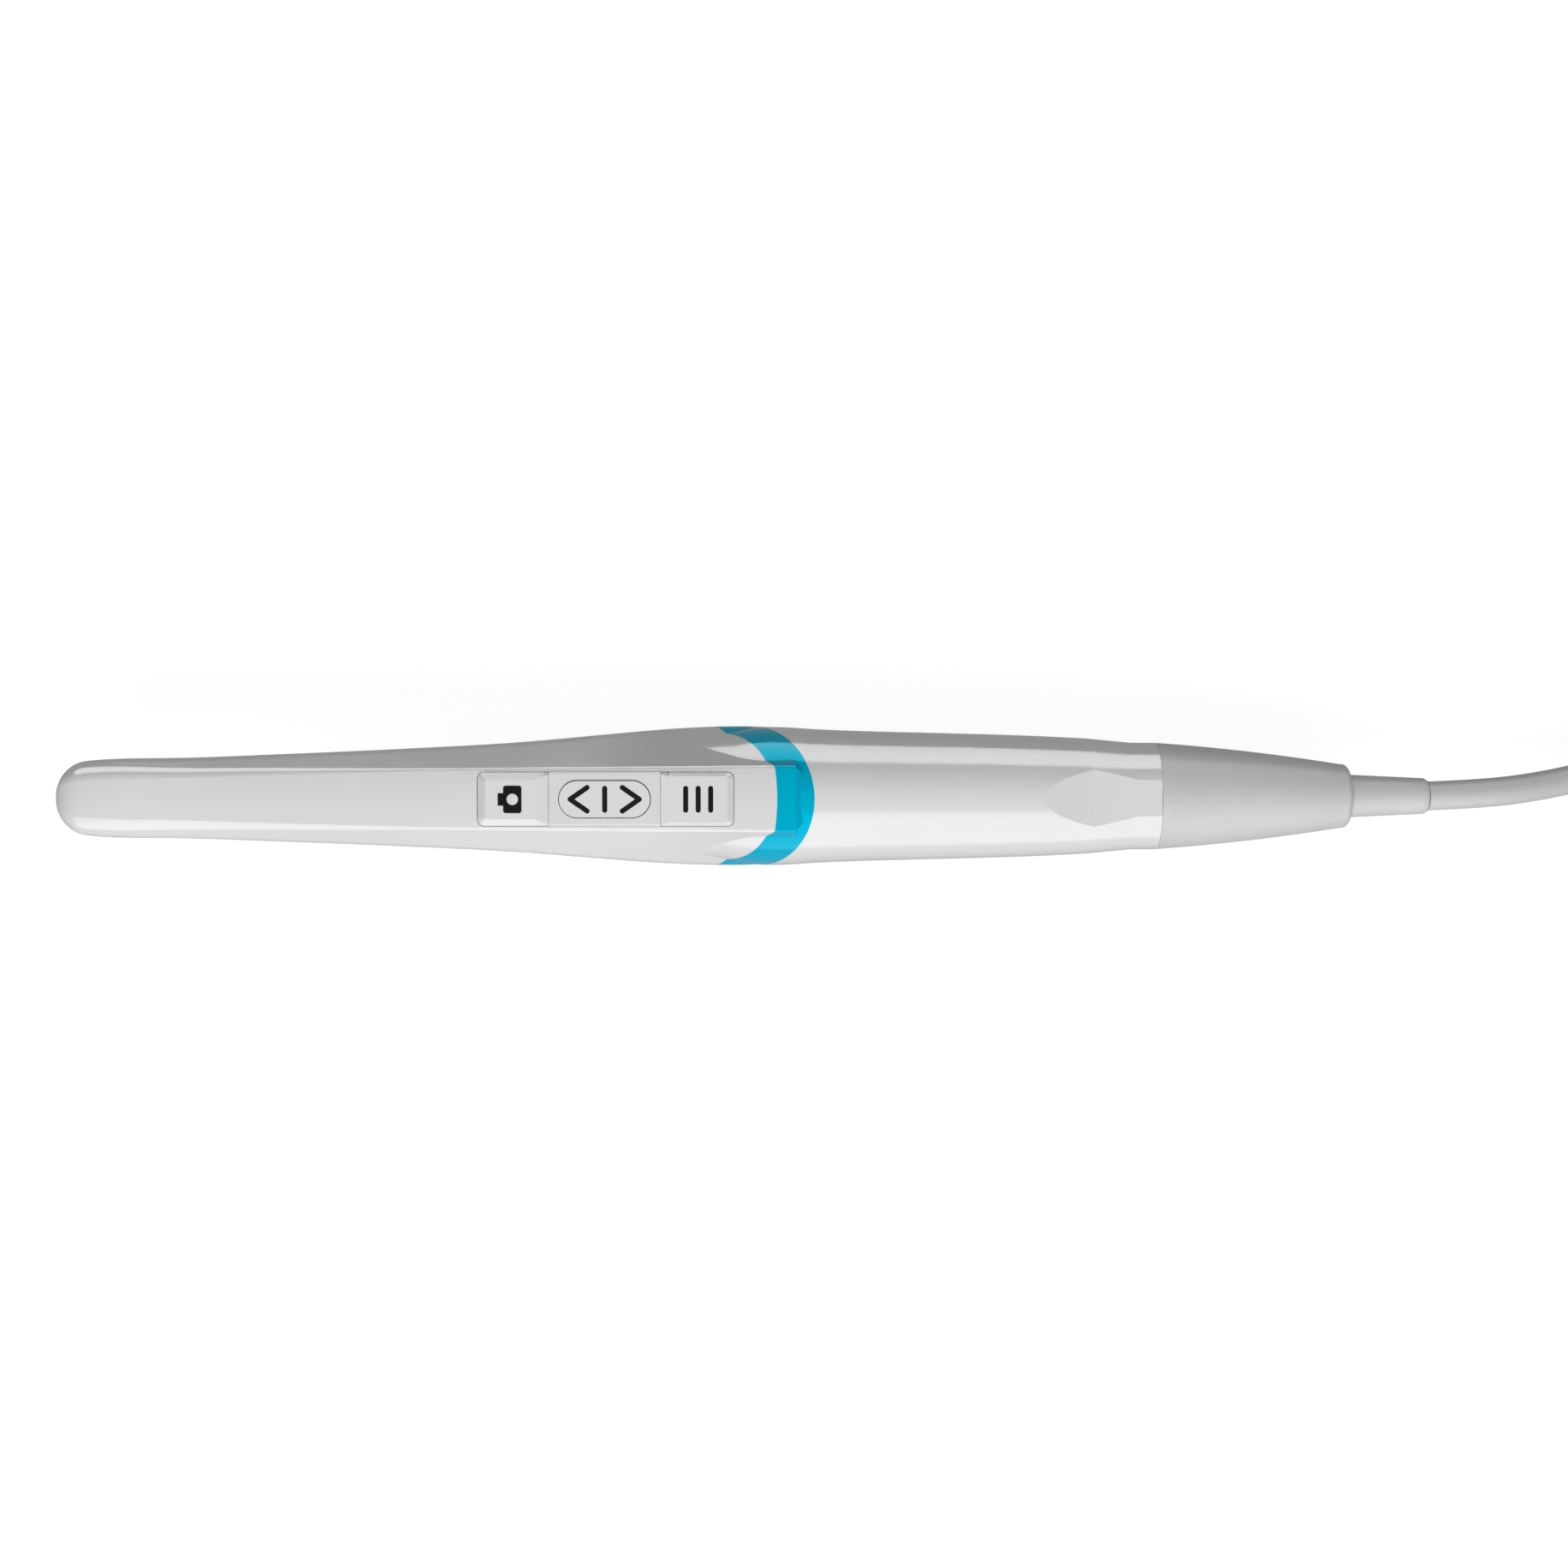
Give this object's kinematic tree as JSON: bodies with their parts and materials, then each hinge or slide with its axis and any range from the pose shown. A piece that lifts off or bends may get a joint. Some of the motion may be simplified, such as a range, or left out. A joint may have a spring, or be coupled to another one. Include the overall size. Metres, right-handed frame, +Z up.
{
  "type": "intraoral camera",
  "caption": "Slim wand-shaped dental camera with a rounded head, keys on a flat deck, a coloured ring, a tapered grip, a strain relief and a USB cord stored as a tied coil.",
  "frame": {"origin": "on the table, below the middle of the handpiece from its nose to the free end of its strain relief", "axes": "+X from the nose to the cord, +Z up through the key deck, +Y to the left seen from the cord end looking at the nose"},
  "size_m": [0.3489, 0.0482, 0.0226],
  "materials": {
    "white_shell": "gloss, fine scuffs",
    "key_white": "semi-gloss",
    "ring_cyan": "high gloss",
    "soft_grey": "satin",
    "symbol_black": "print",
    "cord_grey": "satin",
    "plug_grey": "satin",
    "tie_white": "matte",
    "plug_steel": "bright",
    "plug_white": "matte",
    "contact_gold": "bright",
    "pin_steel": "bright",
    "dome_steel": "bright",
    "window_glass": "polished",
    "bezel_steel": "turned",
    "optic_black": "matte",
    "board_green": "solder mask",
    "chip_black": "matte",
    "led_yellow": "gloss",
    "capacitor_tan": "matte",
    "socket_cream": "matte",
    "flex_amber": "satin",
    "frame_alloy": "satin",
    "inner_grey": "matte",
    "seal_black": "matte",
    "wire_red": "satin"
  },
  "bodies": {
    "root": {"board_screws": "pin_steel", "cable_tail": "cord_grey", "cable_wires": "wire_red", "cap_seal": "seal_black", "capacitors": "capacitor_tan", "capture_dome": "dome_steel", "chassis": "frame_alloy", "cord_clamp": "inner_grey", "cord_hank": "cord_grey", "cord_tail": "cord_grey", "cord_tie": "tie_white", "cord_tube": "cord_grey", "flex_socket": "socket_cream", "focus_lens": "window_glass", "front_lens": "window_glass", "front_lower_shell": "white_shell", "front_upper_shell": "white_shell", "head_bulkhead": "optic_black", "heat_spreader": "frame_alloy", "image_sensor": "chip_black", "joint_collar": "inner_grey", "key_board": "board_green", "key_carrier": "inner_grey", "key_panel": "white_shell", "key_screws": "pin_steel", "key_spacers": "frame_alloy", "led_board": "board_green", "leds": "led_yellow", "lens_barrel": "optic_black", "lens_window": "window_glass", "main_board": "board_green", "memory_chips": "chip_black", "menu_dome": "dome_steel", "motion_sensor": "chip_black", "plug_body": "plug_grey", "plug_contacts": "contact_gold", "plug_relief": "plug_grey", "plug_shell": "plug_steel", "plug_tongue": "plug_white", "prism": "window_glass", "prism_holder": "optic_black", "processor": "chip_black", "rear_cap": "soft_grey", "rear_lens": "window_glass", "rear_shell": "white_shell", "rocker_domes": "dome_steel", "rocker_pin": "pin_steel", "sensor_board": "board_green", "sensor_flex": "flex_amber", "status_leds": "led_yellow", "status_ring": "ring_cyan", "strain_relief": "soft_grey", "window_bezel": "bezel_steel", "wire_socket": "socket_cream"},
    "capture": {"capture_key": "key_white", "capture_icon": "symbol_black"},
    "rocker": {"rocker_key": "key_white", "rocker_icons": "symbol_black"},
    "menu": {"menu_key": "key_white", "menu_icon": "symbol_black"}
  },
  "joints": [
    {"name": "capture_press", "type": "slide", "parent": "root", "child": "capture", "axis": [0, 0, -1], "range_m": [0, 0.0005], "stiffness_N_per_m": 1800, "springref_m": -0.0003},
    {"name": "rocker_tilt", "type": "hinge", "parent": "root", "child": "rocker", "pos_m": [-0.0214, 0, 0.02047], "axis": [0, 1, 0], "range_deg": [-3, 3], "stiffness_Nm_per_rad": 0.08},
    {"name": "menu_press", "type": "slide", "parent": "root", "child": "menu", "axis": [0, 0, -1], "range_m": [0, 0.0005], "stiffness_N_per_m": 1800, "springref_m": -0.0003}
  ]
}
